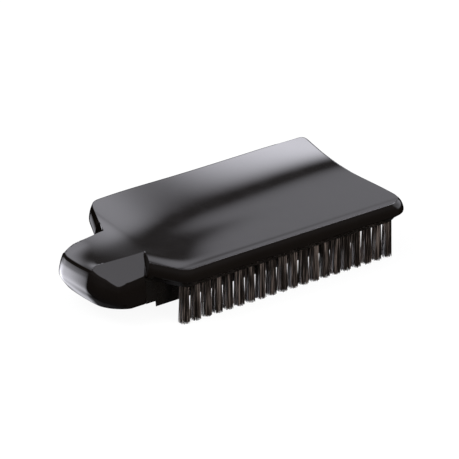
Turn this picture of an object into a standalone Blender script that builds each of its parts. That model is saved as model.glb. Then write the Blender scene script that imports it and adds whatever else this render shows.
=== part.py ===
"""Clothes brush: glossy palm shell with a grip tongue, base moulding, two tufted rows, lint pad and screws.

The brush stands on its bristle tips at z = 0. X runs along it, with the tongue at -X and the front row at -Y.
"""

import math

import bmesh
import bpy
from mathutils import Matrix, Vector

MM = 0.001

# Plan of the shell, at the top edge of its side wall
BODY_LENGTH = 123.0 * MM
BODY_WIDTH = 78.0 * MM
TONGUE_LENGTH = 22.5 * MM
TONGUE_WIDTH = 43.0 * MM
SHOULDER_SLANT = 9.0 * MM
REAR_SETBACK = 3.6 * MM
END_RADIUS = 9.0 * MM
SHOULDER_RADIUS = 6.0 * MM
ROOT_RADIUS = 2.0 * MM
TIP_RADIUS = 13.0 * MM
TIP_BULGE = 1.6 * MM

# Heights above the bristle tips
BRISTLE_LENGTH = 18.4 * MM
KEEL_CLEARANCE = 5.3 * MM
TONGUE_CLEARANCE = 8.0 * MM
FLANGE_HEIGHT = 2.2 * MM
RIM_HEIGHT = 7.2 * MM

# Shell wall: widest below the middle, drawn in at the rear shoulder, filled out at the front corner
WALL = 2.4 * MM
EDGE_RADIUS = 0.3 * MM
TIP_EDGE = 0.8 * MM
RIM_FLARE = 1.4 * MM
WIDEST_SHARE = 0.26
TIP_LEAN = 3.6 * MM
ROOT_INSET = 1.1 * MM
INSET_START = 5.0 * MM
INSET_WIDTH = 14.0 * MM
CORNER_FILL = 2.1 * MM
CORNER_TURN = math.radians(61.0)
CORNER_SPAN = math.radians(19.0)

# Top of the shell: level at the front, swept up towards the rear and down towards the tip
SWEEP_LEFT = 0.055
SWEEP_RIGHT = 0.20
SWEEP_POWER = 1.15
SWEEP_START = 3.3 * MM
SWEEP_DRIFT = 13.5 * MM
SWEEP_SOFT = 3.2 * MM
SWEEP_SOFT_GAIN = 2.4 * MM
SWEEP_RUN_OUT = 8.0 * MM
FRONT_SWEEP = 0.026
FRONT_SWEEP_INSET = 8.0 * MM
FRONT_SWEEP_SOFT = 2.0 * MM
FRONT_SWEEP_END = -8.0 * MM
FRONT_SWEEP_FADE = 15.0 * MM
LEFT_FALL = 0.04
FALL_LENGTH = 21.0 * MM
FALL_SOFT = 8.0 * MM
FALL_INSET = 13.0 * MM
FALL_WIDTH = 14.0 * MM
TIP_ROLL_LENGTH = 14.0 * MM
REAR_ROLL = 2.0 * MM
FRONT_ROLL = 0.8 * MM
FRONT_ROLL_EDGE = 4.0 * MM
FRONT_ROLL_WIDTH = 16.0 * MM

# Tongue: a sloped facet along each side, cut into the top up to a slanted step
FACET_EDGE = 21.6 * MM
FACET_FALL = 0.1
FRONT_FACET = 0.62
FACET_TWIST = 0.2
REAR_FACET = 1.05
REAR_ROUND = 10.5 * MM
CREASE = 0.14 * MM
STEP_SLANT = 0.5
REAR_SLANT = 0.4
STEP_BLEND = 1.6 * MM
STEP_WALL = 2.0 * MM
STEP_FAN = 7.0 * MM

# Where the sections have points between the edge and the middle, as shares of the way
TOP_SHARES = (0.0, 0.1, 0.2, 0.3, 0.43, 0.56, 0.68, 0.83)
ROOF_SHARES = (0.2, 0.43, 0.68)

# Base: keel between the rows, with a scooped end under the tongue
KEEL_END_MARGIN = 14.0 * MM
KEEL_RADIUS = 5.0 * MM
KEEL_WALL = 2.4 * MM
KEEL_FLOOR = 3.2 * MM
SKIRT_SETBACK = 5.2 * MM
SCOOP_DEPTH = 8.0 * MM
PAD_POCKET = 3.0 * MM
FLANGE_SLOPE = 2.1 * MM
LID_THICKNESS = 2.0 * MM

# Tufts
TUFT_PITCH = 6.0 * MM
TUFT_EDGE = 5.4 * MM
HOLE_DIAMETER = 4.2 * MM
HOLE_DEPTH = 1.8 * MM
TIP_GAP = 0.9 * MM
STRAND_WIDTH = 0.62 * MM
STRANDS_INSIDE = 3
STRANDS_OUTSIDE = 7

# Screws and the bosses they hold
BOSS_DIAMETER = 6.6 * MM
BOSS_END_INSET = 22.0 * MM
BOSS_SPACING = 24.0 * MM
SCREW_DIAMETER = 2.4 * MM
SCREW_HEAD_DIAMETER = 5.0 * MM
SCREW_HEAD_HEIGHT = 1.3 * MM
SCREW_LENGTH = 9.0 * MM

PAD_FOAM = 1.3 * MM
GAP = 0.3 * MM

# Derived positions
OVERALL_LENGTH = BODY_LENGTH + SHOULDER_SLANT + TONGUE_LENGTH + 2 * RIM_FLARE
X_END = OVERALL_LENGTH / 2 - RIM_FLARE
X_TIP = RIM_FLARE - OVERALL_LENGTH / 2
X_SHOULDER = X_END - BODY_LENGTH
X_ROOT = X_SHOULDER - SHOULDER_SLANT
BODY_HALF = BODY_WIDTH / 2
TONGUE_HALF = TONGUE_WIDTH / 2

Z_FLANGE_TOP = BRISTLE_LENGTH + FLANGE_HEIGHT
Z_RIM = Z_FLANGE_TOP + GAP
Z_EDGE = Z_RIM + RIM_HEIGHT
Z_POCKET = KEEL_CLEARANCE + PAD_POCKET
Z_FLOOR = Z_POCKET + KEEL_FLOOR

X_WALL_END = X_ROOT - 0.65 * ROOT_RADIUS
X_KEEL = X_WALL_END + GAP
X_SKIRT = X_KEEL + SKIRT_SETBACK
X_KEEL_END = X_END - KEEL_END_MARGIN
KEEL_HALF = TONGUE_HALF + 0.5 * RIM_FLARE
ROW_Y = BODY_HALF - TUFT_EDGE
ROW_START = X_SHOULDER + 0.4 * SHOULDER_RADIUS
ROW_END = X_END - 0.7 * END_RADIUS
TUFT_COUNT = int((ROW_END - ROW_START) / TUFT_PITCH + 1.0e-6) + 1
ROW_CENTRE = (ROW_START + ROW_END) / 2


def clamp(value, low=0.0, high=1.0):
    return max(low, min(high, value))


def smooth(value):
    t = clamp(value)
    return t * t * (3.0 - 2.0 * t)


def soft_ramp(value, width):
    """Zero before the start, then a straight climb, joined by a curve of that width."""
    t = value / width
    return width * (max(t, 0.0) + math.log1p(math.exp(-abs(t))))


def body_height(x, y):
    """Palm plate: level at the front and swept up to the rear, easing down over the tongue to its tip."""
    along = clamp((x - X_SHOULDER) / BODY_LENGTH)
    slope = SWEEP_LEFT + (SWEEP_RIGHT - SWEEP_LEFT) * along**SWEEP_POWER
    start = SWEEP_START + SWEEP_DRIFT * smooth(along)
    rise = slope * soft_ramp(y - start, SWEEP_SOFT + SWEEP_SOFT_GAIN * smooth(2 * along))
    left = 1.0 / (1.0 + math.exp((x - FRONT_SWEEP_END) / FRONT_SWEEP_FADE))
    rise += FRONT_SWEEP * left * soft_ramp(y + BODY_HALF - FRONT_SWEEP_INSET, FRONT_SWEEP_SOFT)
    rise *= 1.0 - smooth((X_ROOT + SWEEP_RUN_OUT - x) / (TONGUE_LENGTH + SWEEP_RUN_OUT))
    fall = LEFT_FALL * soft_ramp(X_ROOT + FALL_LENGTH - x, FALL_SOFT)
    fall *= smooth((y + BODY_HALF - FALL_INSET) / FALL_WIDTH)
    near = clamp((X_TIP + TIP_ROLL_LENGTH - x) / TIP_ROLL_LENGTH)
    fall += near**2 * (REAR_ROLL + FRONT_ROLL * smooth((FRONT_ROLL_EDGE - y) / FRONT_ROLL_WIDTH))
    return Z_EDGE + rise - fall


def facet_height(x, y):
    """Facets of the tongue: the thumb rest in front, and a steeper one behind that follows its corner."""
    low = FACET_EDGE + FACET_FALL * (x - X_ROOT)
    if y < 0:
        slope = FRONT_FACET - FACET_TWIST * clamp((X_ROOT - x) / TONGUE_LENGTH)
        return low + slope * (y + TONGUE_HALF)
    turned = max(0.0, X_TIP + REAR_ROUND - x)
    half = TONGUE_HALF - REAR_ROUND + math.sqrt(max(0.0, REAR_ROUND**2 - turned**2))
    return low + REAR_FACET * (half - y)


def step_line(y):
    """Where the facets end in a step below the palm plate."""
    if y < 0:
        return X_ROOT + 0.3 * ROOT_RADIUS + STEP_SLANT * (TONGUE_HALF + y)
    return X_ROOT + REAR_SETBACK + 0.6 * ROOT_RADIUS - REAR_SLANT * max(0.0, TONGUE_HALF - y)


def step_sway(x):
    """How far a section that leaves the edge at x leans to the plain end, so that it follows the step."""
    start = step_line(-TONGUE_HALF)
    taken = smooth((x - start + 4 * STEP_BLEND) / (4 * STEP_BLEND))
    return STEP_FAN * taken * (1.0 - smooth((x - start) / (0.4 * BODY_LENGTH)))


def fan(share, sign):
    """Share of the lean that a section has taken: early at the front, late at the rear."""
    return 1.0 - (1.0 - share) ** 2 if sign > 0 else share**2


def top_height(x, y):
    """Top of the shell over a point of the plan."""
    top = body_height(x, y)
    blend = smooth((step_line(y) - x) / STEP_BLEND + 0.5)
    return top - blend * soft_ramp(top - facet_height(x, y), CREASE)


def roof_height(x, y):
    """Inside of the shell's top, with a full wall behind the step as well."""
    return min(top_height(x, y), top_height(x - STEP_WALL, y)) - WALL


def rounded_path(corners, start, end, end_cuts):
    """Points from start to end through corners: (x, y, radius, arc steps, cuts of the straight before it)."""
    anchors = [Vector(start)] + [Vector(c[:2]) for c in corners] + [Vector(end)]
    points = [anchors[0]]
    for i, (_, _, radius, steps, cuts) in enumerate(corners):
        before, corner, after = anchors[i : i + 3]
        into = (corner - before).normalized()
        out = (after - corner).normalized()
        turn = into.angle_signed(out)
        first = corner - into * radius * math.tan(abs(turn) / 2)
        run = first - points[-1]
        points += [points[-1] + run * (k / cuts) for k in range(1, cuts)]
        sign = 1.0 if turn < 0 else -1.0
        centre = first + Vector((-into.y, into.x)) * radius * sign
        for k in range(steps + 1):
            points.append(centre + Matrix.Rotation(-turn * k / steps, 2) @ (first - centre))
    run = anchors[-1] - points[-1]
    return points + [points[-1] + run * (k / end_cuts) for k in range(1, end_cuts + 1)]


def half_outline(setback=0.0):
    """Front half of the plan, from the middle of the tongue's end to the middle of the plain end.

    The rear half has its shoulder set back, and is given here as a front half too.
    """
    corners = (
        (X_TIP, -TONGUE_HALF, TIP_RADIUS, 6, 2),
        (X_ROOT + setback, -TONGUE_HALF, ROOT_RADIUS, 4, 5),
        (X_SHOULDER + setback, -BODY_HALF, SHOULDER_RADIUS, 4, 8),
        (X_END, -BODY_HALF, END_RADIUS, 5, 12),
    )
    points = rounded_path(corners, (X_TIP, 0.0), (X_END, 0.0), 4)
    for p in points:
        if p.x < X_ROOT:
            p.x += TIP_BULGE * (p.y / TONGUE_HALF) ** 2 * smooth((X_ROOT - p.x) / TONGUE_LENGTH)
    normals = [Vector((-1.0, 0.0))]
    for before, after in zip(points, points[2:]):
        way = (after - before).normalized()
        normals.append(Vector((way.y, -way.x)))
    normals.append(Vector((1.0, 0.0)))
    return list(zip(points, normals))


def tip_share(point, normal):
    """How far a point of the outline belongs to the end face of the tongue, from 0 to 1."""
    out = (X_ROOT - point.x) / TONGUE_LENGTH
    return clamp(-normal.x) * smooth(5.0 * out - 1.0)


def rear_inset(point, normal):
    """How far the top edge stands in from the outline on the rear shoulder."""
    share = clamp(-2.0 * normal.x) * smooth((point.x - X_ROOT - REAR_SETBACK) / ROOT_RADIUS + 1.0)
    return share * ROOT_INSET * clamp((BODY_HALF - INSET_START + point.y) / INSET_WIDTH)


def corner_fill(point, normal):
    """How far the top edge stands out at the front corner of the tongue."""
    if point.x > X_TIP + TIP_RADIUS:
        return 0.0
    turn = math.atan2(-normal.y, -normal.x)
    return CORNER_FILL * clamp(1.0 - abs(turn - CORNER_TURN) / CORNER_SPAN)


def closed(front, rear):
    """Closed outline from two front halves: the second one follows mirrored and in reverse."""
    return list(front) + [Vector((p.x, -p.y)) for p in reversed(rear)]


def mirrored(points):
    """Closed outline with two equal halves."""
    return closed(points, points)


def make_object(name, bm, collection):
    bmesh.ops.remove_doubles(bm, verts=bm.verts, dist=1.0e-6)
    bmesh.ops.recalc_face_normals(bm, faces=bm.faces)
    mesh = bpy.data.meshes.new(name)
    bm.to_mesh(mesh)
    bm.free()
    obj = bpy.data.objects.new(name, mesh)
    collection.objects.link(obj)
    return obj


def prism(name, outline, low, high, collection, top_outline=None):
    """Solid between an outline at the low height and the same or another outline at the high one."""
    bm = bmesh.new()
    lower = [bm.verts.new((p.x, p.y, low)) for p in outline]
    upper = [bm.verts.new((p.x, p.y, high)) for p in (top_outline or outline)]
    bm.faces.new(lower)
    bm.faces.new(upper)
    for i in range(len(lower)):
        j = (i + 1) % len(lower)
        bm.faces.new((lower[i], lower[j], upper[j], upper[i]))
    return make_object(name, bm, collection)


def rods(name, places, diameter, low, high, collection, sides=12):
    """Upright round rods at the given places, as one mesh."""
    bm = bmesh.new()
    for x, y in places:
        at = Matrix.Translation((x, y, (low + high) / 2))
        radius = diameter / 2
        bmesh.ops.create_cone(
            bm, cap_ends=True, segments=sides, radius1=radius, radius2=radius, depth=high - low, matrix=at
        )
    return make_object(name, bm, collection)


def boolean(obj, tool, operation):
    mod = obj.modifiers.new(tool.name, "BOOLEAN")
    mod.operation = operation
    mod.solver = "EXACT"
    mod.object = tool
    tool.hide_render = True
    tool.display_type = "WIRE"


def material(name, colour, roughness, metallic=0.0):
    mat = bpy.data.materials.new(name)
    mat.use_nodes = True
    shader = mat.node_tree.nodes["Principled BSDF"]
    shader.inputs["Base Color"].default_value = (*colour, 1.0)
    shader.inputs["Roughness"].default_value = roughness
    shader.inputs["Metallic"].default_value = metallic
    return mat


def shell_section(front, rear, spine, inner_spine):
    """Closed loop of the shell at one station: over the outside to the rear, and back along the inside."""
    sway = step_sway(front[0].x)
    low = TONGUE_CLEARANCE

    def side(sign):
        point, normal = front if sign > 0 else rear
        root = X_ROOT if sign > 0 else X_ROOT + REAR_SETBACK
        end = tip_share(point, normal)
        body = smooth((point.x - root + ROOT_RADIUS) / (2 * ROOT_RADIUS))
        rim = low + (Z_RIM - GAP - low) * body
        fill = corner_fill(point, normal) if sign > 0 else -rear_inset(point, normal)
        radius = EDGE_RADIUS + TIP_EDGE * end
        edge = point + normal * (fill - radius)
        top = top_height(point.x, sign * point.y)
        edge_top = top_height(edge.x, sign * edge.y)
        widest = rim + (top - rim) * WIDEST_SHARE
        low_offset = 0.5 * RIM_FLARE * (1.0 - body) - TIP_LEAN * end
        rows = (
            (low_offset, low),
            (low_offset + 0.1 * RIM_FLARE * body, rim),
            (RIM_FLARE + 0.5 * fill, widest + 0.2 * (top - widest) * end),
            (0.7 * RIM_FLARE + 0.8 * fill, widest + 0.6 * (top - widest)),
            (fill, edge_top - radius),
            (fill - 0.3 * radius, edge_top - 0.3 * radius),
        )
        loop = []
        for offset, z in rows:
            p = point + normal * offset
            loop.append((p.x, sign * p.y, z))
        for share in TOP_SHARES:
            y = edge.y * (1.0 - share)
            x = edge.x + (spine - edge.x) * (1.0 - (1.0 - share) ** 2) + sway * fan(share, sign)
            loop.append((x, sign * y, top_height(x, sign * y)))
        return loop

    def inside(sign):
        point, normal = front if sign > 0 else rear
        inner = point - normal * WALL
        foot = inner - normal * TIP_LEAN * tip_share(point, normal)
        roof = roof_height(inner.x, sign * inner.y)
        loop = [(foot.x, sign * foot.y, low), (inner.x, sign * inner.y, roof)]
        for share in ROOF_SHARES:
            y = inner.y * (1.0 - share)
            x = inner.x + (inner_spine - inner.x) * (1.0 - (1.0 - share) ** 2) + sway * fan(share, sign)
            loop.append((x, sign * y, roof_height(x, sign * y)))
        return loop

    crown = (spine + sway, 0.0, top_height(spine + sway, 0.0))
    roof = (inner_spine + sway, 0.0, roof_height(inner_spine + sway, 0.0))
    return side(1.0) + [crown] + side(-1.0)[::-1] + inside(-1.0) + [roof] + inside(1.0)[::-1]


def spine_positions(stations, inset):
    """Where each station's section crosses the middle: level with its edge, but spread out over both ends."""
    xs = [(p - n * inset).x for p, n in stations]
    first = next(i for i, (p, _) in enumerate(stations) if p.x >= X_TIP + TIP_RADIUS)
    last = max(i for i, (p, _) in enumerate(stations) if p.x <= X_END - END_RADIUS)
    for i in range(first):
        xs[i] = xs[0] + (xs[first] - xs[0]) * i / first
    span = len(xs) - 1 - last
    for i in range(last, len(xs)):
        xs[i] = xs[last] + (xs[-1] - xs[last]) * (i - last) / span
    return xs


def build_shell(parts, tools, bosses):
    front = half_outline()
    rear = half_outline(REAR_SETBACK)
    outer = spine_positions(front, EDGE_RADIUS + TIP_EDGE)
    inner = spine_positions(front, WALL)
    bm = bmesh.new()
    rings = []
    for station in zip(front, rear, outer, inner):
        rings.append([bm.verts.new(co) for co in shell_section(*station)])
    for ring, after in zip(rings, rings[1:]):
        for i in range(len(ring)):
            j = (i + 1) % len(ring)
            bm.faces.new((ring[i], ring[j], after[j], after[i]))
    shell = make_object("top_shell", bm, parts)
    block = [Vector(p) for p in ((X_WALL_END, -BODY_WIDTH), (X_END * 2, -BODY_WIDTH))]
    boolean(shell, prism("under_rim_cut", mirrored(block), 0.0, Z_RIM, tools), "DIFFERENCE")
    for i, place in enumerate(bosses):
        roof = top_height(*place) - WALL / 2
        boolean(shell, rods(f"boss_{i}", [place], BOSS_DIAMETER, Z_FLOOR + GAP, roof, tools, 16), "UNION")
    pilot = SCREW_DIAMETER + 2 * GAP
    top = Z_FLOOR + SCREW_LENGTH
    boolean(shell, rods("pilot_holes", bosses, pilot, Z_FLOOR, top, tools, 12), "DIFFERENCE")
    return shell


def keel_outline(inset, left, scoop=0.0):
    """Front half of the keel's plan, from its left end; a scoop makes that end concave."""
    half = KEEL_HALF - inset
    right = X_KEEL_END - inset
    corners = ((right, -half, KEEL_RADIUS - inset, 4, 1),)
    points = rounded_path(corners, (left, -half), (right, 0.0), 1)
    steps = 7
    hollow = [Vector((left + scoop * (1.0 - (k / steps) ** 2), -half * k / steps)) for k in range(steps)]
    return (hollow if scoop else []) + points


def build_base(parts, tools, bosses, holes):
    def flange_half(inset, half, setback):
        start = [Vector((X_KEEL + x, -half)) for x in sorted({0.0, setback})]
        root = X_KEEL + setback + ROOT_RADIUS
        return start + [p - n * inset for p, n in half_outline(setback) if p.x > root]

    def flange_outline(inset, half):
        return closed(flange_half(inset, half, 0.0), flange_half(inset, half, REAR_SETBACK))

    under = flange_outline(FLANGE_SLOPE, KEEL_HALF)
    over = flange_outline(GAP, TONGUE_HALF - GAP)
    base = prism("base", under, BRISTLE_LENGTH, Z_FLANGE_TOP, parts, over)
    keel = mirrored(keel_outline(0.0, X_KEEL))
    boolean(base, prism("keel_block", keel, TONGUE_CLEARANCE, BRISTLE_LENGTH + MM, tools), "UNION")
    tongue = [(p, n) for p, n in half_outline() if p.x < X_ROOT - ROOT_RADIUS]
    inside = [p - n * (WALL + GAP + TIP_LEAN * tip_share(p, n)) for p, n in tongue]
    inside.append(Vector((X_KEEL + 4.0 * MM, inside[-1].y)))
    lid_top = TONGUE_CLEARANCE + LID_THICKNESS
    boolean(base, prism("tongue_lid", mirrored(inside), TONGUE_CLEARANCE, lid_top, tools), "UNION")
    skirt = keel_outline(0.0, X_SKIRT, SCOOP_DEPTH)
    boolean(base, prism("skirt", mirrored(skirt), KEEL_CLEARANCE, TONGUE_CLEARANCE + MM, tools), "UNION")
    hollow = keel_outline(KEEL_WALL, X_KEEL + KEEL_WALL)
    boolean(base, prism("keel_hollow", mirrored(hollow), Z_FLOOR, Z_EDGE, tools), "DIFFERENCE")
    pocket = keel_outline(KEEL_WALL, X_SKIRT + KEEL_WALL, SCOOP_DEPTH)
    boolean(base, prism("pad_pocket", mirrored(pocket), 0.0, Z_POCKET, tools), "DIFFERENCE")
    sunk = Z_POCKET + SCREW_HEAD_HEIGHT + GAP
    boolean(base, rods("head_sinks", bosses, SCREW_HEAD_DIAMETER + 2 * GAP, 0.0, sunk, tools), "DIFFERENCE")
    boolean(base, rods("screw_holes", bosses, SCREW_DIAMETER + 2 * GAP, 0.0, Z_EDGE, tools), "DIFFERENCE")
    top = BRISTLE_LENGTH + HOLE_DEPTH
    boolean(base, rods("tuft_holes", holes, HOLE_DIAMETER, 0.0, top, tools, 10), "DIFFERENCE")
    return base


def tuft_mesh(name):
    """One tuft: strands that spread from a plug of folded roots, cut level at the tips."""
    bm = bmesh.new()
    plug = HOLE_DIAMETER / 2 - GAP / 2
    depth = HOLE_DEPTH - GAP
    at = Matrix.Translation((0.0, 0.0, BRISTLE_LENGTH + depth / 2))
    bmesh.ops.create_cone(bm, cap_ends=True, segments=10, radius1=plug, radius2=plug, depth=depth, matrix=at)
    under = min(bm.faces, key=lambda f: f.calc_center_median().z)
    bmesh.ops.delete(bm, geom=[under], context="FACES_ONLY")
    rim = [v for v in bm.verts if v.co.z < BRISTLE_LENGTH + depth / 2]
    spread = (TUFT_PITCH - TIP_GAP) / 2 - STRAND_WIDTH / 2
    root = plug - 0.75 * STRAND_WIDTH
    seats = [(0.42, k / STRANDS_INSIDE) for k in range(STRANDS_INSIDE)]
    seats += [(1.0, (k + 0.5) / STRANDS_OUTSIDE) for k in range(STRANDS_OUTSIDE)]
    roots = []
    for share, turn in seats:
        angle = 2 * math.pi * turn
        way = Vector((math.cos(angle), math.sin(angle), 0.0))
        upper = []
        lower = []
        for k in range(3):
            spin = angle + 2 * math.pi * k / 3
            rim_point = Vector((math.cos(spin), math.sin(spin), 0.0)) * STRAND_WIDTH / 2
            upper.append(bm.verts.new(way * root * share + rim_point + Vector((0.0, 0.0, BRISTLE_LENGTH))))
            lower.append(bm.verts.new(way * spread * share + rim_point))
        bm.faces.new(lower)
        for k in range(3):
            m = (k + 1) % 3
            bm.faces.new((upper[k], upper[m], lower[m], lower[k]))
        roots.append(upper)
    edges = {e for v in rim for e in v.link_edges if e.other_vert(v) in rim}
    for upper in roots:
        edges |= {e for v in upper for e in v.link_edges if e.other_vert(v) in upper}
    bmesh.ops.triangle_fill(bm, use_beauty=True, edges=list(edges))
    bmesh.ops.recalc_face_normals(bm, faces=bm.faces)
    mesh = bpy.data.meshes.new(name)
    bm.to_mesh(mesh)
    bm.free()
    return mesh


def build_tufts(parts, front, rear, bristle):
    mesh = tuft_mesh("tuft")
    mesh.materials.append(bristle)
    for row, places in (("front", front), ("rear", rear)):
        for i, (x, y) in enumerate(places):
            tuft = bpy.data.objects.new(f"tuft_{row}_{i + 1:02d}", mesh)
            turn = Matrix.Rotation(0.9 * i + 0.4 * (y > 0), 4, "Z")
            tuft.matrix_world = Matrix.Translation((x, y, 0.0)) @ turn
            parts.objects.link(tuft)


def build_pad(parts, foam, velvet):
    """Velvet facing on a foam sheet, in the pocket between the skirts of the keel."""
    inset = KEEL_WALL + GAP
    outline = mirrored(keel_outline(inset, X_SKIRT + inset, SCOOP_DEPTH))
    top = Z_POCKET - GAP
    backing = prism("pad_foam", outline, top - PAD_FOAM, top, parts)
    backing.data.materials.append(foam)
    facing = prism("velvet_pad", outline, KEEL_CLEARANCE - 0.2 * MM, top - PAD_FOAM - GAP, parts)
    facing.data.materials.append(velvet)


def build_screws(parts, bosses, steel):
    """Pan-head screws: a turned profile of head, shank and point, spun about each boss."""
    head = SCREW_HEAD_DIAMETER / 2
    shank = SCREW_DIAMETER / 2
    low = Z_POCKET + GAP / 2
    neck = low + SCREW_HEAD_HEIGHT
    tip = neck + SCREW_LENGTH
    profile = (
        (0.0, low),
        (0.7 * head, low),
        (head, low + 0.45 * SCREW_HEAD_HEIGHT),
        (head, neck),
        (shank, neck),
        (shank, tip - 1.5 * shank),
        (0.0, tip),
    )
    for i, (x, y) in enumerate(bosses):
        bm = bmesh.new()
        verts = [bm.verts.new((r, 0.0, z)) for r, z in profile]
        edges = [bm.edges.new(pair) for pair in zip(verts, verts[1:])]
        geom = verts + edges
        bmesh.ops.spin(
            bm, geom=geom, cent=(0, 0, 0), axis=(0, 0, 1), angle=2 * math.pi, steps=12, use_merge=True
        )
        screw = make_object(f"screw_{i + 1}", bm, parts)
        screw.location = (x, y, 0.0)
        screw.data.materials.append(steel)


def main():
    for obj in list(bpy.data.objects):
        bpy.data.objects.remove(obj)
    parts = bpy.data.collections.new("clothes_brush")
    tools = bpy.data.collections.new("cutters")
    for collection in (parts, tools):
        bpy.context.scene.collection.children.link(collection)

    boss_ends = (X_KEEL + BOSS_END_INSET, X_KEEL_END - BOSS_END_INSET)
    bosses = [(x, y) for x in boss_ends for y in (-BOSS_SPACING / 2, BOSS_SPACING / 2)]
    xs = [ROW_CENTRE + (k - (TUFT_COUNT - 1) / 2) * TUFT_PITCH for k in range(TUFT_COUNT)]
    front = [(x, -ROW_Y) for x in xs]
    rear = [(x, ROW_Y) for x in xs if x > ROW_START + REAR_SETBACK]

    shell = build_shell(parts, tools, bosses)
    shell.data.materials.append(material("gloss_black_shell", (0.006, 0.005, 0.004), 0.12))
    base = build_base(parts, tools, bosses, front + rear)
    base.data.materials.append(material("black_base", (0.006, 0.005, 0.004), 0.25))
    build_tufts(parts, front, rear, material("dark_bristle", (0.018, 0.013, 0.009), 0.5))
    build_pad(
        parts,
        material("grey_foam", (0.08, 0.08, 0.085), 0.9),
        material("charcoal_velvet", (0.02, 0.02, 0.022), 0.95),
    )
    build_screws(parts, bosses, material("zinc_screw", (0.6, 0.6, 0.6), 0.35, 1.0))


main()
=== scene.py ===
import math
import random

import bmesh
import bpy
from mathutils import Matrix, Vector


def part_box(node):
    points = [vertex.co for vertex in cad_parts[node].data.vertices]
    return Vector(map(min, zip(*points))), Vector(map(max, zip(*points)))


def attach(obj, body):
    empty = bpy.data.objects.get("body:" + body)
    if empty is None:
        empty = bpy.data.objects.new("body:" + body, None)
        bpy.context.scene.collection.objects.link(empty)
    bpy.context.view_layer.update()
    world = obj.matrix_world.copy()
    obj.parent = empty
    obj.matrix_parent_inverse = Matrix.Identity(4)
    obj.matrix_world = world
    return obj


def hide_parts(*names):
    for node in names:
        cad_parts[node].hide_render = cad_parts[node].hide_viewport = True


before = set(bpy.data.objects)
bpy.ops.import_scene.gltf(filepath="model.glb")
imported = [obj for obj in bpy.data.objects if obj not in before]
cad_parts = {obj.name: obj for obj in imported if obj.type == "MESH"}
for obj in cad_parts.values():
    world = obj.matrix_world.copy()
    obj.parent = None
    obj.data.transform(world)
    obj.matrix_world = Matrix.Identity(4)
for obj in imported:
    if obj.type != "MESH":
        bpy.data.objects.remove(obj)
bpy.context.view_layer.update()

# X runs along the brush, with the tongue at -X and the front row at -Y, and its bristle tips stand at z = 0
MM = 0.001
ROOT = "root"
WELD = 2.0e-6

# Plan of the shell at the top edge of its side wall, as the solid part has it
BODY_LENGTH = 123.0 * MM
BODY_WIDTH = 78.0 * MM
TONGUE_LENGTH = 22.5 * MM
TONGUE_WIDTH = 43.0 * MM
SHOULDER_SLANT = 9.0 * MM
REAR_SETBACK = 3.6 * MM
END_RADIUS = 9.0 * MM
SHOULDER_RADIUS = 6.0 * MM
ROOT_RADIUS = 2.0 * MM
TIP_RADIUS = 13.0 * MM
TIP_BULGE = 1.6 * MM

# Heights above the bristle tips, as the solid part has them
TONGUE_CLEARANCE = 8.0 * MM
Z_RIM = 20.9 * MM
RIM_HEIGHT = 7.2 * MM
GAP = 0.3 * MM

# Wall of the shell, as the solid part has it
WALL = 2.4 * MM
EDGE_RADIUS = 0.3 * MM
RIM_FLARE = 1.4 * MM
WIDEST_SHARE = 0.26
TIP_LEAN = 3.6 * MM
ROOT_INSET = 1.1 * MM
INSET_START = 5.0 * MM
INSET_WIDTH = 14.0 * MM
CORNER_FILL = 2.1 * MM
CORNER_TURN = math.radians(61.0)
CORNER_SPAN = math.radians(19.0)

# Finer form of the wall: the plain end's rear corner, rounder edges and a lip at the rim
REAR_END_RADIUS = 3.5 * MM
END_SKEW = 1.8 * MM
SKEW_LENGTH = 40.0 * MM
END_FLARE = 1.2 * MM
FLARE_TURN = 0.7
END_EDGE = 1.1 * MM
END_EDGE_FADE = 25.0 * MM
TIP_EDGE = 1.9 * MM
EDGE_START = math.radians(18.0)
STEEPEST_TOP = 0.7
SLOPE_REACH = 0.5 * MM
INSET_TURN = 0.55
LIP = 0.25 * MM

# Top of the shell: level at the front, swept up towards the rear and down towards the tip
SWEEP_LEFT = 0.055
SWEEP_RIGHT = 0.20
SWEEP_POWER = 1.15
SWEEP_START = 3.3 * MM
SWEEP_DRIFT = 13.5 * MM
SWEEP_SOFT = 3.2 * MM
SWEEP_SOFT_GAIN = 2.4 * MM
SWEEP_RUN_OUT = 8.0 * MM
FRONT_SWEEP = 0.026
FRONT_SWEEP_INSET = 8.0 * MM
FRONT_SWEEP_SOFT = 2.0 * MM
FRONT_SWEEP_END = -10.0 * MM
FRONT_SWEEP_FADE = 12.0 * MM
FRONT_SWEEP_SLANT = 2.3
SLANT_START = -10.0 * MM
LEFT_FALL = 0.04
FALL_LENGTH = 21.0 * MM
FALL_SOFT = 5.5 * MM
TIP_ROLL = 2.0 * MM
TIP_ROLL_LENGTH = 14.0 * MM
TIP_ROLL_FRONT = 6.0 * MM
ROLL_EDGE = 8.0 * MM
ROLL_WIDTH = 18.0 * MM

# Flatter strip inside the front edge and the front shoulder
STRIP_WIDTH = 2.2 * MM
STRIP_BLEND = 2.8 * MM
STRIP_STEP = 0.03 * MM
EDGE_STRIP = 9.3 * MM
EDGE_FALL = 0.6
SHOULDER_SOFT = 1.5 * MM

# Tongue: a sloped facet along each side, cut into the top up to a slanted step
FACET_EDGE = 21.6 * MM
FACET_FALL = 0.1
FRONT_FACET = 0.62
FACET_TWIST = 0.12
REAR_FACET = 1.05
REAR_ROUND = 10.5 * MM
CREASE = 0.002 * MM
STEP_SLANT = 0.5
REAR_SLANT = 0.4
STEP_BLEND = 1.6 * MM
REAR_BLEND = 0.6 * MM
STEP_WALL = 2.0 * MM
STEP_FAN = 7.0 * MM

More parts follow.
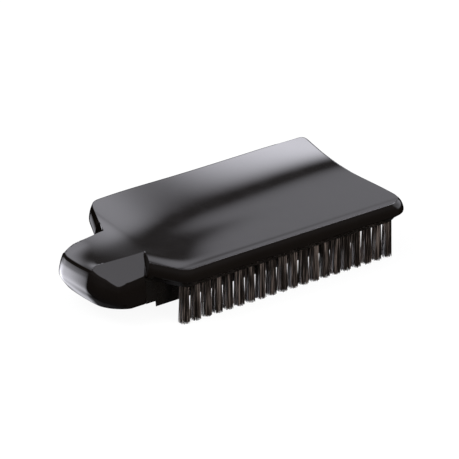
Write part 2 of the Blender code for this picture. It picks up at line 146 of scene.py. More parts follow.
# Derived positions of the shell
OVERALL_LENGTH = BODY_LENGTH + SHOULDER_SLANT + TONGUE_LENGTH + 2 * RIM_FLARE
X_END = OVERALL_LENGTH / 2 - RIM_FLARE
X_TIP = RIM_FLARE - OVERALL_LENGTH / 2
X_SHOULDER = X_END - BODY_LENGTH
X_ROOT = X_SHOULDER - SHOULDER_SLANT
X_WALL_END = X_ROOT - 0.65 * ROOT_RADIUS
BODY_HALF = BODY_WIDTH / 2
TONGUE_HALF = TONGUE_WIDTH / 2
Z_EDGE = Z_RIM + RIM_HEIGHT

# How finely the shell is drawn. One line of points follows the crease of the thumb facet
WALL_POINTS = 18
EDGE_POINTS = 9
TOP_POINTS = 40
TOP_CROWDING = 1.25
ROOF_SHARES = (0.22, 0.45, 0.72)
SPAN_POINTS = 12
CURVE_POINTS = 160
CREASE_INDEX = 14
PLAIN_CREASE = (CREASE_INDEX / TOP_POINTS) ** TOP_CROWDING
CREASE_SEARCH = (0.02, 0.9)
CREASE_LIMITS = (0.08, 0.7)
SEARCH_STEPS = 40
CREASE_RUN_OUT = 14.0 * MM
CREASE_FADE = 12.0 * MM
CREASE_TIP_FADE = 5.0 * MM
SHELL_SHARP = 14.0

# Bristles
STRANDS = 78
STRAND_RADIUS = 0.17 * MM
STRAND_VARIATION = (0.85, 1.1)
STRAND_TAPER = 0.18
STRAND_BEND = 1.15
STRAND_BELLY = (-0.05 * MM, 0.10 * MM)
STRAND_DRIFT = 0.07 * MM
STRAND_SIDES = 5
STRAND_STEPS = 5
ROOT_SPREAD = 2.0 * MM
TIP_SPREAD = 2.55 * MM
TIP_UNEVEN = 0.16 * MM
ROOT_HEIGHT = 19.4 * MM
GOLDEN_ANGLE = math.pi * (3.0 - math.sqrt(5.0))
FIRST_SEED = 100

# Lint pad and base
VELVET_CROWN = 0.25 * MM
VELVET_POINTS = 260
FOAM_POINTS = 200
BASE_BEVEL = 0.3 * MM

# Camera, fitted to the photograph. It is set right and up from the pivot in the picture's plane
CAMERA_AZIMUTH = math.radians(36.8)
CAMERA_ELEVATION = math.radians(25.1)
CAMERA_DISTANCE = 1.816
FOCAL_PIXELS = 4000.0
FRAME_PIXELS = 459.0
SENSOR_WIDTH = 36.0
PIVOT = Vector((0.0129, 0.0, 0.0))
PIVOT_RIGHT = -0.00504
PIVOT_UP = 0.01508

# Studio
EVEN_LIGHT = 0.75
EVEN_TINT = (0.985, 0.985, 1.0, 1.0)
MIRROR_TINT = (0.925, 0.92, 1.0, 1.0)
FLOOR_RADIUS = 4.0
FLOOR_DROP = 0.2 * MM
FLOOR_GREY = 0.10
FLOOR_GLOW = 0.92


def clamp(value, low=0.0, high=1.0):
    return max(low, min(high, value))


def smooth(value):
    """Eased step from 0 to 1."""
    t = clamp(value)
    return t * t * (3.0 - 2.0 * t)


def soft_ramp(value, width):
    """Zero before the start, then a straight climb, joined by a curve of that width."""
    t = value / width
    return width * (max(t, 0.0) + math.log1p(math.exp(-abs(t))))


def edge_distance(x, y):
    """How far a place lies inside the front edge and the front shoulder."""
    drop = BODY_HALF - TONGUE_HALF
    across = (x - X_ROOT) * drop + (y + TONGUE_HALF) * SHOULDER_SLANT
    shoulder = across / math.hypot(drop, SHOULDER_SLANT)
    front = y + BODY_HALF
    return front - soft_ramp(front - shoulder, SHOULDER_SOFT)


def body_height(x, y):
    """Palm plate: level at the front and swept up to the rear, easing down over the tongue to its tip."""
    along = clamp((x - X_SHOULDER) / BODY_LENGTH)
    inside = y + BODY_HALF
    slope = SWEEP_LEFT + (SWEEP_RIGHT - SWEEP_LEFT) * along**SWEEP_POWER
    start = SWEEP_START + SWEEP_DRIFT * smooth(along)
    rise = slope * soft_ramp(y - start, SWEEP_SOFT + SWEEP_SOFT_GAIN * smooth(2 * along))
    sweep_end = FRONT_SWEEP_END - FRONT_SWEEP_SLANT * soft_ramp(SLANT_START - y, FRONT_SWEEP_SOFT)
    left = 1.0 / (1.0 + math.exp((x - sweep_end) / FRONT_SWEEP_FADE))
    rise += FRONT_SWEEP * left * soft_ramp(inside - FRONT_SWEEP_INSET, FRONT_SWEEP_SOFT)
    rise *= 1.0 - smooth((X_ROOT + SWEEP_RUN_OUT - x) / (TONGUE_LENGTH + SWEEP_RUN_OUT))
    fall = LEFT_FALL * soft_ramp(X_ROOT + FALL_LENGTH - x, FALL_SOFT)
    if y < 0.0 and x > step_line(y):
        fall *= EDGE_FALL + (1.0 - EDGE_FALL) * smooth(edge_distance(x, y) / EDGE_STRIP)
    reach = TIP_ROLL_FRONT + (TIP_ROLL_LENGTH - TIP_ROLL_FRONT) * smooth((y + ROLL_EDGE) / ROLL_WIDTH)
    fall += TIP_ROLL * clamp((X_TIP + reach - x) / reach) ** 2
    return Z_EDGE + STRIP_STEP * smooth((inside - STRIP_WIDTH) / STRIP_BLEND) + rise - fall


def facet_height(x, y):
    """Facets of the tongue: the thumb rest in front, and a steeper one behind that follows its corner."""
    low = FACET_EDGE + FACET_FALL * (x - X_ROOT)
    if y < 0:
        slope = FRONT_FACET - FACET_TWIST * clamp((X_ROOT - x) / TONGUE_LENGTH)
        return low + slope * (y + TONGUE_HALF)
    turned = max(0.0, X_TIP + REAR_ROUND - x)
    half = TONGUE_HALF - REAR_ROUND + math.sqrt(max(0.0, REAR_ROUND**2 - turned**2))
    return low + REAR_FACET * (half - y)


def step_line(y):
    """Where the facets end in a step below the palm plate."""
    if y < 0:
        return X_ROOT + 0.3 * ROOT_RADIUS + STEP_SLANT * (TONGUE_HALF + y)
    return X_ROOT + REAR_SETBACK + 0.6 * ROOT_RADIUS - REAR_SLANT * max(0.0, TONGUE_HALF - y)


def step_sway(x):
    """How far a section that leaves the edge at x leans to the plain end, so that it follows the step."""
    start = step_line(-TONGUE_HALF)
    taken = smooth((x - start + 4 * STEP_BLEND) / (4 * STEP_BLEND))
    return STEP_FAN * taken * (1.0 - smooth((x - start) / (0.4 * BODY_LENGTH)))


def fan(share, sign):
    """Share of the lean that a section has taken: early at the front, late at the rear."""
    return 1.0 - (1.0 - share) ** 2 if sign > 0 else share**2


def top_height(x, y):
    """Top of the shell over a point of the plan."""
    top = body_height(x, y)
    blend = smooth((step_line(y) - x) / (STEP_BLEND if y < 0 else REAR_BLEND) + 0.5)
    return top - blend * soft_ramp(top - facet_height(x, y), CREASE)


def roof_height(x, y):
    """Inside of the shell's top, with a full wall behind the step as well."""
    return min(top_height(x, y), top_height(x - STEP_WALL, y)) - WALL


def rounded_path(corners, start, end, end_cuts):
    """Points from start to end through corners: (x, y, radius, arc steps, cuts of the straight before it)."""
    anchors = [Vector(start)] + [Vector(c[:2]) for c in corners] + [Vector(end)]
    points = [anchors[0]]
    for i, (_, _, radius, steps, cuts) in enumerate(corners):
        before, corner, after = anchors[i : i + 3]
        into = (corner - before).normalized()
        out = (after - corner).normalized()
        turn = into.angle_signed(out)
        first = corner - into * radius * math.tan(abs(turn) / 2)
        run = first - points[-1]
        points += [points[-1] + run * (k / cuts) for k in range(1, cuts)]
        sign = 1.0 if turn < 0 else -1.0
        centre = first + Vector((-into.y, into.x)) * radius * sign
        for k in range(steps + 1):
            points.append(centre + Matrix.Rotation(-turn * k / steps, 2) @ (first - centre))
    run = anchors[-1] - points[-1]
    return points + [points[-1] + run * (k / end_cuts) for k in range(1, end_cuts + 1)]


def half_outline(setback):
    """Stations of half the plan, from the middle of the tongue's end to the middle of the plain end.

    Each is a point and its outward normal. The rear half has its shoulder set back and its end skewed, and is
    given here as a front half too.
    """
    corners = (
        (X_TIP, -TONGUE_HALF, TIP_RADIUS, 24, 8),
        (X_ROOT + setback, -TONGUE_HALF, ROOT_RADIUS, 28, 24),
        (X_SHOULDER + setback, -BODY_HALF, SHOULDER_RADIUS, 14, 24),
        (X_END, -BODY_HALF, REAR_END_RADIUS if setback else END_RADIUS, 20, 70),
    )
    points = rounded_path(corners, (X_TIP, 0.0), (X_END, 0.0), 24)
    for p in points:
        if p.x < X_ROOT:
            p.x += TIP_BULGE * (p.y / TONGUE_HALF) ** 2 * smooth((X_ROOT - p.x) / TONGUE_LENGTH)
        elif setback:
            p.x -= END_SKEW * (p.y / BODY_HALF) * smooth((p.x - X_END + SKEW_LENGTH) / SKEW_LENGTH)
    normals = [Vector((-1.0, 0.0))]
    for before, after in zip(points, points[2:]):
        way = (after - before).normalized()
        normals.append(Vector((way.y, -way.x)))
    normals.append(Vector((1.0, 0.0)))
    return list(zip(points, normals))


def tip_share(point, normal):
    """How far a point of the outline belongs to the end face of the tongue, from 0 to 1."""
    out = (X_ROOT - point.x) / TONGUE_LENGTH
    return clamp(-normal.x) * smooth(5.0 * out - 1.0)


def rear_inset(point, normal):
    """How far the top edge stands in from the outline on the rear shoulder."""
    share = smooth(-normal.x / INSET_TURN) * smooth((point.x - X_ROOT - REAR_SETBACK) / ROOT_RADIUS + 1.0)
    return share * ROOT_INSET * clamp((BODY_HALF - INSET_START + point.y) / INSET_WIDTH)


def corner_fill(point, normal):
    """How far the top edge stands out at the front corner of the tongue."""
    if point.x >= X_TIP + TIP_RADIUS:
        return 0.0
    turn = math.atan2(-normal.y, -normal.x)
    return CORNER_FILL * clamp(1.0 - abs(turn - CORNER_TURN) / CORNER_SPAN)


def edge_radius(point, end, sign):
    """Rounding of the top edge: larger at the tongue's tip, and at the rear corner of the plain end."""
    rear_end = smooth(1.0 + (point.x - X_END) / END_EDGE_FADE) * smooth(1.0 + sign * point.y / END_EDGE_FADE)
    return EDGE_RADIUS + TIP_EDGE * end + END_EDGE * rear_end


def spread(points, count):
    """The same line with that many points at even distances."""
    far = [0.0]
    for a, b in zip(points, points[1:]):
        far.append(far[-1] + (b - a).length)
    out = []
    i = 0
    for k in range(count):
        want = far[-1] * k / (count - 1)
        while i < len(far) - 2 and far[i + 1] < want:
            i += 1
        part = (want - far[i]) / max(far[i + 1] - far[i], 1e-12)
        out.append(points[i].lerp(points[i + 1], clamp(part)))
    return out


def curve_through(knots, count):
    """Evenly spread points on a smooth curve through the knots (a centripetal Catmull-Rom spline)."""
    dense = []
    ends = [knots[0] * 2 - knots[1]] + list(knots) + [knots[-1] * 2 - knots[-2]]
    for i in range(1, len(ends) - 2):
        p0, p1, p2, p3 = ends[i - 1 : i + 3]
        t1 = max((p1 - p0).length, 1e-7) ** 0.5
        t2 = t1 + max((p2 - p1).length, 1e-7) ** 0.5
        t3 = t2 + max((p3 - p2).length, 1e-7) ** 0.5
        for k in range(SPAN_POINTS):
            t = t1 + (t2 - t1) * k / SPAN_POINTS
            a1 = p0 * ((t1 - t) / t1) + p1 * (t / t1)
            a2 = p1 * ((t2 - t) / (t2 - t1)) + p2 * ((t - t1) / (t2 - t1))
            a3 = p2 * ((t3 - t) / (t3 - t2)) + p3 * ((t - t2) / (t3 - t2))
            b1 = a1 * ((t2 - t) / t2) + a2 * (t / t2)
            b2 = a2 * ((t3 - t) / (t3 - t1)) + a3 * ((t - t1) / (t3 - t1))
            dense.append(b1 * ((t2 - t) / (t2 - t1)) + b2 * ((t - t1) / (t2 - t1)))
    dense.append(knots[-1])
    return spread(dense, count)


def cut_below(points, low):
    """Drops what lies below a height from a line of (offset, z) that climbs."""
    kept = [p for p in points if p.y > low + 1e-6]
    first = len(points) - len(kept)
    if first == 0:
        return points
    a, b = points[first - 1], points[first]
    part = (low - a.y) / max(b.y - a.y, 1e-9)
    return [a.lerp(b, clamp(part))] + kept


def row_point(edge, spine, sway, share, sign):
    """Place in the plan along one row of the top, from its edge to the middle."""
    x = edge.x + (spine - edge.x) * (1.0 - (1.0 - share) ** 2) + sway * fan(share, sign)
    return x, sign * edge.y * (1.0 - share)


def crease_share(edge, spine, sway):
    """Share of a front row at which the thumb facet meets the top."""
    low, high = CREASE_SEARCH

    def over(share):
        x, y = row_point(edge, spine, sway, share, 1.0)
        return body_height(x, y) - facet_height(x, y)

    if over(low) < 0.0:
        return PLAIN_CREASE
    for _ in range(SEARCH_STEPS):
        middle = 0.5 * (low + high)
        low, high = (middle, high) if over(middle) > 0.0 else (low, middle)
    there = clamp(high, *CREASE_LIMITS)
    near = smooth((step_line(-TONGUE_HALF) + CREASE_RUN_OUT - edge.x) / CREASE_FADE)
    near *= smooth((edge.x - X_TIP) / CREASE_TIP_FADE)
    return PLAIN_CREASE + (there - PLAIN_CREASE) * near


def top_shares(crease):
    """Shares of a row at which it has points: crowded to the edge, with one of them on the crease."""
    shares = []
    for k in range(TOP_POINTS):
        share = (k / TOP_POINTS) ** TOP_CROWDING
        if k <= CREASE_INDEX:
            shares.append(share * crease / PLAIN_CREASE)
        else:
            shares.append(1.0 - (1.0 - share) * (1.0 - crease) / (1.0 - PLAIN_CREASE))
    return shares


def shell_ring(front, rear, spine, inner_spine, cuts):
    """Closed loop of the shell at one station: over the outside to the rear, and back along the inside.

    Cuts says for the front and the rear whether the wall ends at the rim there, or goes on down the tongue.
    """
    sway = step_sway(front[0].x)
    low = TONGUE_CLEARANCE

    def side(sign):
        point, normal = front if sign > 0 else rear
        floor = Z_RIM if cuts[sign < 0] else low
        end = tip_share(point, normal)
        root = X_ROOT if sign > 0 else X_ROOT + REAR_SETBACK - 2 * ROOT_RADIUS
        body = smooth((point.x - root + ROOT_RADIUS) / (2 * ROOT_RADIUS))
        rim = low + (Z_RIM - GAP - low) * body
        fill = corner_fill(point, normal) if sign > 0 else -rear_inset(point, normal)
        flare = RIM_FLARE + END_FLARE * smooth(normal.x / FLARE_TURN)
        low_offset = 0.5 * RIM_FLARE * (1.0 - body) - TIP_LEAN * end
        radius = edge_radius(point, end, sign)
        edge = point + normal * (fill - radius)
        behind = edge - normal * SLOPE_REACH
        climb = top_height(behind.x, sign * behind.y) - top_height(edge.x, sign * edge.y)
        edge_end = 0.5 * math.pi - clamp(math.atan(climb / SLOPE_REACH), 0.0, STEEPEST_TOP)
        edge = point + normal * (fill - radius * (1.0 - math.cos(edge_end)))
        top = top_height(edge.x, sign * edge.y)
        widest = rim + (top - rim) * WIDEST_SHARE

        def rounding(turn):
            offset = fill - radius * (1.0 - math.cos(turn))
            return Vector((offset, top - radius * (math.sin(edge_end) - math.sin(turn))))

        knots = [
            Vector((low_offset, low)),
            Vector((low_offset + 0.1 * RIM_FLARE * body, rim)),
            Vector((flare + 0.5 * fill, widest + 0.2 * (top - widest) * end)),
            Vector((0.7 * flare + 0.8 * fill, widest + 0.6 * (top - widest))),
            rounding(EDGE_START),
        ]
        knots = [k for i, k in enumerate(knots) if i == 0 or (k - knots[i - 1]).length > 1e-6]
        line = spread(cut_below(curve_through(knots, CURVE_POINTS), floor), WALL_POINTS)
        for k in range(1, EDGE_POINTS):
            line.append(rounding(EDGE_START + (edge_end - EDGE_START) * k / EDGE_POINTS))
        loop = [line[0] - Vector((LIP, 0.0)), line[0] + Vector((0.0, LIP))] + line[1:]
        placed = []
        for offset, z in loop:
            p = point + normal * offset
            placed.append((p.x, sign * p.y, z))
        for share in top_shares(crease_share(edge, spine, sway) if sign > 0 else PLAIN_CREASE):
            x, y = row_point(edge, spine, sway, share, sign)
            placed.append((x, y, top_height(x, y)))
        return placed

    def inside(sign):
        point, normal = front if sign > 0 else rear
        cut = cuts[sign < 0]
        inner = point - normal * WALL
        foot = point - normal * (WALL + (0.0 if cut else TIP_LEAN * tip_share(point, normal)))
        placed = [
            (foot.x, sign * foot.y, Z_RIM if cut else low),
            (inner.x, sign * inner.y, roof_height(inner.x, sign * inner.y)),
        ]
        for share in ROOF_SHARES:
            x, y = row_point(inner, inner_spine, sway, share, sign)
            placed.append((x, y, roof_height(x, y)))
        return placed

    crown = (spine + sway, 0.0, top_height(spine + sway, 0.0))
    roof = (inner_spine + sway, 0.0, roof_height(inner_spine + sway, 0.0))
    return side(1.0) + [crown] + side(-1.0)[::-1] + inside(-1.0) + [roof] + inside(1.0)[::-1]


def spine_positions(stations, inset):
    """Where each station's section crosses the middle: level with its edge, but spread out over both ends."""
    xs = [(p - n * inset).x for p, n in stations]
    first = next(i for i, (p, _) in enumerate(stations) if p.x >= X_TIP + TIP_RADIUS)
    last = max(i for i, (p, _) in enumerate(stations) if p.x <= X_END - END_RADIUS)
    for i in range(first):
        xs[i] = xs[0] + (xs[first] - xs[0]) * i / first
    span = len(xs) - 1 - last
    for i in range(last, len(xs)):
        xs[i] = xs[last] + (xs[-1] - xs[last]) * (i - last) / span
    return xs


def join_rings(bm, rings):
    """Faces between each closed ring of points and the next one."""
    for ring, after in zip(rings, rings[1:]):
        for i in range(len(ring)):
            j = (i + 1) % len(ring)
            bm.faces.new((ring[i], ring[j], after[j], after[i]))


def finish_mesh(name, bm, sharp=35.0):
    """Mesh object with smooth shading and sharp edges above an angle."""
    bmesh.ops.remove_doubles(bm, verts=bm.verts, dist=WELD)
    bmesh.ops.dissolve_degenerate(bm, edges=bm.edges, dist=WELD / 2)
    bmesh.ops.recalc_face_normals(bm, faces=bm.faces)
    limit = math.radians(sharp)
    for face in bm.faces:
        face.smooth = True
    for edge in bm.edges:
        edge.smooth = len(edge.link_faces) == 2 and edge.calc_face_angle(0.0) < limit
    mesh = bpy.data.meshes.new(name)
    bm.to_mesh(mesh)
    bm.free()
    obj = bpy.data.objects.new(name, mesh)
    bpy.context.scene.collection.objects.link(obj)
    return obj


def build_shell():
    """Hollow shell, drawn ring by ring, with a step in its wall where the tongue's side meets the rim."""
    front = half_outline(0.0)
    rear = half_outline(REAR_SETBACK)
    splits = []
    for half in (front, rear):
        splits.append(next(i for i, (p, _) in enumerate(half) if p.x > X_WALL_END))
        half[splits[-1]][0].x = X_WALL_END
    outer = spine_positions(front, EDGE_RADIUS + TIP_EDGE)
    inner = spine_positions(front, WALL)
    bm = bmesh.new()
    rings = []
    for i in range(len(front)):
        states = [tuple(i > split for split in splits)]
        if i in splits:
            states.append(tuple(i >= split for split in splits))
        for cuts in states:
            ring = shell_ring(front[i], rear[i], outer[i], inner[i], cuts)
            rings.append([bm.verts.new(co) for co in ring])
    join_rings(bm, rings)
    return finish_mesh("shell_skin", bm, SHELL_SHARP)


def build_tuft(name, node, seed):
    """Fine bristles that leave the drilled hole together and spread a little to their trimmed tips."""
    rng = random.Random(seed)
    low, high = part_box(node)
    centre = (low + high) / 2
    bm = bmesh.new()
    spin = rng.uniform(0, 2 * math.pi)
    for k in range(STRANDS):
        reach = math.sqrt((k + 0.5) / STRANDS)
        angle = spin + k * GOLDEN_ANGLE
        way = Vector((math.cos(angle), math.sin(angle), 0.0))
        root = way * ROOT_SPREAD * reach
        drift = Vector((rng.gauss(0, STRAND_DRIFT), rng.gauss(0, STRAND_DRIFT), 0.0))
        tip = way * TIP_SPREAD * reach + drift
        belly = way * rng.uniform(*STRAND_BELLY) * reach
        tip_z = abs(rng.gauss(0, TIP_UNEVEN))
        thick = STRAND_RADIUS * rng.uniform(*STRAND_VARIATION)
        rings = []
        for s in range(STRAND_STEPS + 1):
            t = s / STRAND_STEPS
            p = centre + root.lerp(tip, t**STRAND_BEND) + belly * math.sin(math.pi * t)
            z = ROOT_HEIGHT + (tip_z - ROOT_HEIGHT) * t
            radius = thick * (1.0 - STRAND_TAPER * t)
            ring = []
            for m in range(STRAND_SIDES):
                a = angle + 2 * math.pi * m / STRAND_SIDES
                ring.append(bm.verts.new((p.x + math.cos(a) * radius, p.y + math.sin(a) * radius, z)))
            rings.append(ring)
        join_rings(bm, rings)
        bm.faces.new(rings[0])
        bm.faces.new(rings[-1])
    return finish_mesh(name, bm, 60.0)


def flat_plan(node, count):
    """Outline of a node's flat underside, counterclockwise, with that many points at even distances."""
    bm = bmesh.new()
    bm.from_mesh(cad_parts[node].data)
    bmesh.ops.remove_doubles(bm, verts=bm.verts, dist=WELD)
    uses = {}
    for face in bm.faces:
        if face.normal.z < -0.9:
            for edge in face.edges:
                uses[edge] = uses.get(edge, 0) + 1
    beside = {}
    for edge, number in uses.items():
        if number == 1:
            a, b = edge.verts
            beside.setdefault(a, []).append(b)
            beside.setdefault(b, []).append(a)
    start = next(iter(beside))
    loop = [start, beside[start][0]]
    while loop[-1] != start:
        a, b = beside[loop[-1]]
        loop.append(a if b == loop[-2] else b)
    plan = spread([Vector((v.co.x, v.co.y)) for v in loop], count + 1)[:-1]
    bm.free()
    area = sum(a.x * b.y - a.y * b.x for a, b in zip(plan, plan[1:] + plan[:1]))
    return plan if area > 0 else plan[::-1]


def inset_ring(plan, inward, inset):
    """The outline moved in, with what would fold over at a sharp corner drawn together."""
    moved = [p + n * inset for p, n in zip(plan, inward)]
    count = len(plan)

    def is_clear(place):
        for a, b in zip(plan, plan[1:] + plan[:1]):
            along = b - a
            part = clamp((place - a).dot(along) / along.length_squared)
            if (place - a - along * part).length < 0.98 * inset:
                return False
        return True

    good = [i for i in range(count) if is_clear(moved[i])]
    ring = list(moved)
    for a, b in zip(good, good[1:] + [good[0] + count]):
        for i in range(a + 1, b):
            ring[i % count] = moved[a].lerp(moved[b % count], (i - a) / (b - a))
    return ring


def build_pad(name, node, crown, count):
    """Soft sheet over the plan of its solid: crowned, with its edges rolled under."""
    low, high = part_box(node)
    thick = high.z - low.z
    plan = flat_plan(node, count)
    inward = []
    for before, after in zip(plan[-1:] + plan[:-1], plan[1:] + plan[:1]):
        way = (after - before).normalized()
        inward.append(Vector((-way.y, way.x)))
    bm = bmesh.new()
    rings = []
    for inset, z in (
        (0.35 * thick, high.z),
        (0.04 * thick, high.z - 0.25 * thick),
        (0.0, high.z - 0.5 * thick),
        (0.1 * thick, low.z + 0.35 * thick),
        (0.35 * thick, low.z + 0.16 * thick),
        (0.9 * thick, low.z + 0.6 * crown),
        (1.6 * thick, low.z + 0.2 * crown),
        (2.4 * thick, low.z),
    ):
        rings.append([bm.verts.new((*p, z)) for p in inset_ring(plan, inward, inset)])
    join_rings(bm, rings)
    bm.faces.new(rings[0])
    bm.faces.new(rings[-1])
    return finish_mesh(name, bm, 50.0)


class Nodes:
    """Small helper to wire a procedural material."""

    def __init__(self, name):
        self.material = bpy.data.materials.new(name)
        self.material.use_nodes = True
        self.tree = self.material.node_tree
        self.shader = self.tree.nodes["Principled BSDF"]

    def add(self, kind, **values):
        node = self.tree.nodes.new(kind)
        for name, value in values.items():
            node.inputs[name].default_value = value
        return node

    def link(self, a, b):
        self.tree.links.new(a, b)

    def noise(self, scale, detail, stretch=None):
        coords = self.add("ShaderNodeTexCoord").outputs["Object"]
        if stretch:
            mapping = self.add("ShaderNodeMapping", Scale=stretch)
            self.link(coords, mapping.inputs["Vector"])
            coords = mapping.outputs["Vector"]
        node = self.add("ShaderNodeTexNoise", Scale=scale, Detail=detail)
        self.link(coords, node.inputs["Vector"])
        return node.outputs["Fac"]

    def ramp(self, target, fac, *stops):
        """Drives a socket of the shader through stops of (position, grey level or colour)."""
        node = self.add("ShaderNodeValToRGB")
        ramp = node.color_ramp
        while len(ramp.elements) < len(stops):
            ramp.elements.new(0.5)
        for element, (position, colour) in zip(ramp.elements, stops):
            element.position = position
            element.color = (*colour, 1.0) if isinstance(colour, tuple) else (colour, colour, colour, 1.0)
        self.link(fac, node.inputs["Fac"])
        self.link(node.outputs["Color"], self.shader.inputs[target])

    def bump(self, height, distance, strength):
        node = self.add("ShaderNodeBump", Distance=distance, Strength=strength)
        self.link(height, node.inputs["Height"])
        self.link(node.outputs["Normal"], self.shader.inputs["Normal"])

    def set(self, **values):
        for name, value in values.items():
            self.shader.inputs[name.replace("_", " ")].default_value = value


def shell_material():
    m = Nodes("gloss_black_shell")
    dark, light = (0.0034, 0.0022, 0.0015), (0.0046, 0.0032, 0.0022)
    m.ramp("Base Color", m.noise(40.0, 4.0), (0.3, dark), (0.75, light))
    m.ramp("Roughness", m.noise(150.0, 6.0), (0.3, 0.045), (0.7, 0.075))
    m.bump(m.noise(900.0, 2.0), 0.01 * MM, 0.12)
    return m.material


def base_material():
    m = Nodes("satin_black_base")
    dark, light = (0.0055, 0.0045, 0.0036), (0.0080, 0.0066, 0.0054)
    m.ramp("Base Color", m.noise(60.0, 4.0), (0.3, dark), (0.75, light))
    m.ramp("Roughness", m.noise(300.0, 5.0), (0.3, 0.22), (0.7, 0.34))
    m.bump(m.noise(2600.0, 3.0), 0.01 * MM, 0.1)
    return m.material


def bristle_material():
    m = Nodes("dark_bristle")
    # Random tone from strand to strand, partly real colour and partly painted highlight: the lightest stop
    # paints light streaks that stand in for gloss on the strands
    dark, middle, light = (0.0060, 0.0042, 0.0030), (0.0180, 0.0135, 0.0105), (0.2000, 0.1600, 0.1400)
    strand_tone_and_highlight = m.noise(1.0, 1.0, (2300.0, 2300.0, 40.0))
    m.ramp("Base Color", strand_tone_and_highlight, (0.36, dark), (0.52, middle), (0.65, light))
    m.ramp("Roughness", m.noise(1.0, 2.0, (1500.0, 1500.0, 900.0)), (0.3, 0.28), (0.7, 0.42))
    return m.material


def velvet_material():
    m = Nodes("charcoal_velvet")
    dark, light = (0.014, 0.014, 0.016), (0.030, 0.030, 0.033)
    m.ramp("Base Color", m.noise(240.0, 5.0), (0.3, dark), (0.7, light))
    m.bump(m.noise(5200.0, 4.0), 0.35 * MM, 0.8)
    m.set(Roughness=0.9, Sheen_Weight=0.55, Sheen_Roughness=0.4)
    return m.material


def foam_material():
    m = Nodes("grey_foam")
    dark, light = (0.045, 0.045, 0.048), (0.11, 0.11, 0.115)
    m.ramp("Base Color", m.noise(1800.0, 3.0), (0.35, dark), (0.65, light))
    m.bump(m.noise(2200.0, 3.0), 0.2 * MM, 0.6)
    m.set(Roughness=0.95)
    return m.material


def screw_material():
    m = Nodes("zinc_screw")
    dark, light = (0.50, 0.50, 0.51), (0.68, 0.68, 0.67)
    m.ramp("Base Color", m.noise(400.0, 4.0), (0.3, dark), (0.7, light))
    m.ramp("Roughness", m.noise(900.0, 4.0), (0.3, 0.25), (0.7, 0.45))
    m.set(Metallic=1.0)
    return m.material


def dress(obj, material):
    obj.data.materials.clear()
    obj.data.materials.append(material)


def add_piece(obj, material, slot, *nodes):
    """Gives a new piece its finish and its body, and hides the nodes that it stands for."""
    dress(obj, material)
    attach(obj, ROOT)
    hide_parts(*nodes)
    return obj


def build_pads():
    face = build_pad("velvet_face", "velvet_pad", VELVET_CROWN, VELVET_POINTS)
    velvet = add_piece(face, velvet_material(), "velvet", "velvet_pad")
    layer = build_pad("foam_layer", "pad_foam", 0.0, FOAM_POINTS)
    foam = add_piece(layer, foam_material(), "foam", "pad_foam")


def dress_base():
    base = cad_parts["base"]
    dress(base, base_material())
    bevel = base.modifiers.new("edges", "BEVEL")
    bevel.width = BASE_BEVEL
    bevel.segments = 2
    bevel.limit_method = "ANGLE"
    bevel.angle_limit = math.radians(40)


def build_pieces():
    add_piece(build_shell(), shell_material(), "shell", "top_shell")
    bristle = bristle_material()
    tufts = sorted(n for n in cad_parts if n.startswith("tuft_"))
    for seed, node in enumerate(tufts, FIRST_SEED):
        add_piece(build_tuft(node.replace("tuft", "bristles"), node, seed), bristle, "bristle", node)
    build_pads()
    dress_base()
    steel = screw_material()
    for i in range(1, 5):
        dress(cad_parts[f"screw_{i}"], steel)


def build_camera():
    """Camera at the photograph's angle. Returns the level direction away from it."""
    a, e = CAMERA_AZIMUTH, CAMERA_ELEVATION
    right = Vector((math.cos(a), -math.sin(a), 0.0))
    up = Vector((math.sin(a) * math.sin(e), math.cos(a) * math.sin(e), math.cos(e)))
    ahead = Vector((math.sin(a) * math.cos(e), math.cos(a) * math.cos(e), -math.sin(e)))
    data = bpy.data.cameras.new("camera")
    data.sensor_width = SENSOR_WIDTH
    data.lens = SENSOR_WIDTH * FOCAL_PIXELS / FRAME_PIXELS
    data.clip_start = 0.05
    data.clip_end = 50.0
    camera = bpy.data.objects.new("camera", data)
    camera.matrix_world = Matrix((right, up, -ahead)).transposed().to_4x4()
    camera.location = PIVOT + right * PIVOT_RIGHT + up * PIVOT_UP - ahead * CAMERA_DISTANCE
    bpy.context.scene.collection.objects.link(camera)
    bpy.context.scene.camera = camera
    return Vector((math.sin(a), math.cos(a), 0.0))


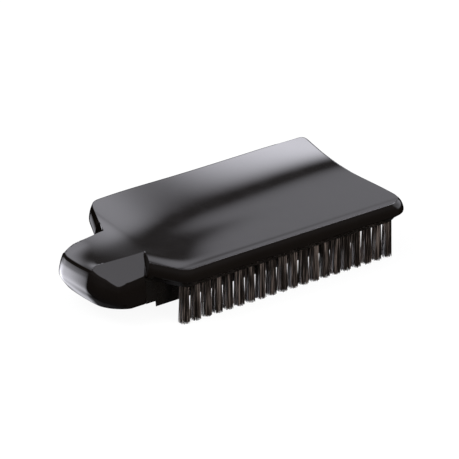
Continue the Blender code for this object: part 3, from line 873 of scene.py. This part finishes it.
def build_world(behind):
    """Even light for matt surfaces, white for the camera, and a lit sweep that only gloss mirrors.

    Each level is a soft step along a direction: height, depth away from the camera, or across to its right.
    """
    world = bpy.data.worlds.new("studio")
    bpy.context.scene.world = world
    world.use_nodes = True
    tree = world.node_tree
    tree.nodes.clear()
    link = tree.links.new
    way = tree.nodes.new("ShaderNodeTexCoord").outputs["Generated"]

    def math_node(kind, a, b):
        node = tree.nodes.new("ShaderNodeMath")
        node.operation = kind
        for socket, value in zip(node.inputs, (a, b)):
            if isinstance(value, float):
                socket.default_value = value
            else:
                link(value, socket)
        return node.outputs[0]

    def product(first, *others):
        for other in others:
            first = math_node("MULTIPLY", first, other)
        return first

    def mix(share, on, off):
        rest = math_node("SUBTRACT", 1.0, share)
        return math_node("ADD", product(share, on), product(rest, off))

    def along(direction):
        node = tree.nodes.new("ShaderNodeVectorMath")
        node.operation = "DOT_PRODUCT"
        link(way, node.inputs[0])
        node.inputs[1].default_value = direction
        return node.outputs["Value"]

    def soft_step(value, low, high, at_low, at_high):
        node = tree.nodes.new("ShaderNodeMapRange")
        node.interpolation_type = "SMOOTHSTEP"
        link(value, node.inputs["Value"])
        for name, number in (("From Min", low), ("From Max", high), ("To Min", at_low), ("To Max", at_high)):
            node.inputs[name].default_value = number
        return node.outputs[0]

    height = along((0.0, 0.0, 1.0))
    depth = along(behind)
    across = along((behind.y, -behind.x, 0.0))

    # White sweep behind the object, dark above its top edge, with a softbox over it
    backdrop = product(soft_step(height, 0.30, 0.44, 1.35, 1.05), soft_step(height, 0.425, 0.478, 1.0, 0.12))
    softbox = product(
        soft_step(height, 0.50, 0.66, 0.0, 1.0),
        soft_step(height, 0.68, 0.80, 8.0, 1.7),
        soft_step(across, -0.12, 0.13, 0.35, 1.0),
    )
    right_end = math_node(
        "MAXIMUM", soft_step(across, 0.2, 0.4, 1.0, 0.03), soft_step(height, 0.0, 0.12, 0.0, 1.0)
    )
    shade = product(
        soft_step(height, -0.14, 0.02, 0.02, 1.0), soft_step(across, -0.62, -0.30, 0.05, 1.0), right_end
    )

    # White card low on the left, which lights the tip of the tongue
    leaning = math_node("ADD", across, product(height, 1.5))
    upper_card = product(soft_step(across, -0.95, -0.75, 1.0, 0.0), soft_step(height, -0.25, 0.08, 1.0, 0.0))
    card = product(
        math_node("MAXIMUM", soft_step(leaning, -1.20, -0.95, 1.0, 0.0), upper_card),
        soft_step(across, -0.50, -0.05, 6.4, 0.6),
        soft_step(height, -0.72, -0.42, 0.30, 1.0),
        soft_step(height, -0.78, -0.64, 0.05, 1.0),
        soft_step(depth, 0.0, 0.32, 0.0, 1.0),
    )

    # Dark room on the camera's side
    sweep = math_node("ADD", product(math_node("ADD", backdrop, softbox), shade), card)
    room = soft_step(height, -0.2, 0.5, 0.05, 0.16)
    mirrored = mix(soft_step(depth, -0.15, 0.12, 0.0, 1.0), sweep, room)

    path = tree.nodes.new("ShaderNodeLightPath")
    shiny = math_node("MAXIMUM", path.outputs["Is Glossy Ray"], path.outputs["Is Transmission Ray"])
    level = mix(path.outputs["Is Camera Ray"], 1.0, mix(shiny, mirrored, EVEN_LIGHT))
    tint = tree.nodes.new("ShaderNodeMix")
    tint.data_type = "RGBA"
    link(shiny, tint.inputs[0])
    tint.inputs[6].default_value = EVEN_TINT
    tint.inputs[7].default_value = MIRROR_TINT
    background = tree.nodes.new("ShaderNodeBackground")
    link(tint.outputs[2], background.inputs["Color"])
    link(level, background.inputs["Strength"])
    output = tree.nodes.new("ShaderNodeOutputWorld")
    link(background.outputs[0], output.inputs[0])


def floor_material():
    """Matt grey that takes a soft shadow, and glows pale to the camera."""
    material = bpy.data.materials.new("pale_floor")
    material.use_nodes = True
    tree = material.node_tree
    tree.nodes.clear()
    path = tree.nodes.new("ShaderNodeLightPath")
    diffuse = tree.nodes.new("ShaderNodeBsdfDiffuse")
    diffuse.inputs["Color"].default_value = (FLOOR_GREY, FLOOR_GREY, FLOOR_GREY, 1.0)
    glow = tree.nodes.new("ShaderNodeEmission")
    scale = tree.nodes.new("ShaderNodeMath")
    scale.operation = "MULTIPLY"
    scale.inputs[1].default_value = FLOOR_GLOW
    both = tree.nodes.new("ShaderNodeAddShader")
    output = tree.nodes.new("ShaderNodeOutputMaterial")
    tree.links.new(path.outputs["Is Camera Ray"], scale.inputs[0])
    tree.links.new(scale.outputs[0], glow.inputs["Strength"])
    tree.links.new(diffuse.outputs[0], both.inputs[0])
    tree.links.new(glow.outputs[0], both.inputs[1])
    tree.links.new(both.outputs[0], output.inputs["Surface"])
    return material


def build_floor():
    bm = bmesh.new()
    bmesh.ops.create_circle(bm, cap_ends=True, segments=64, radius=FLOOR_RADIUS)
    floor = finish_mesh("floor", bm)
    dress(floor, floor_material())
    floor.location.z = -FLOOR_DROP
    floor.visible_glossy = False


def build_lamp(name, place, size, power, target):
    """Round soft lamp that gloss doesn't mirror."""
    data = bpy.data.lights.new(name, "AREA")
    data.shape = "DISK"
    data.size = size
    data.energy = power
    lamp = bpy.data.objects.new(name, data)
    lamp.location = place
    lamp.rotation_euler = (Vector(target) - Vector(place)).to_track_quat("-Z", "Y").to_euler()
    lamp.visible_glossy = False
    bpy.context.scene.collection.objects.link(lamp)


def build_studio():
    behind = build_camera()
    build_world(behind)
    build_floor()
    build_lamp("key", (-0.7, 0.2, 0.9), 0.6, 6.0, (0.0, 0.0, 0.02))
    build_lamp("fill", (0.3, -0.9, 0.6), 0.8, 4.0, (0.0, 0.0, 0.02))
    build_lamp("low", (-0.1, -0.95, 0.10), 0.4, 5.0, (0.0, 0.0, 0.01))
    bpy.context.scene.view_settings.view_transform = "Standard"


build_pieces()
build_studio()
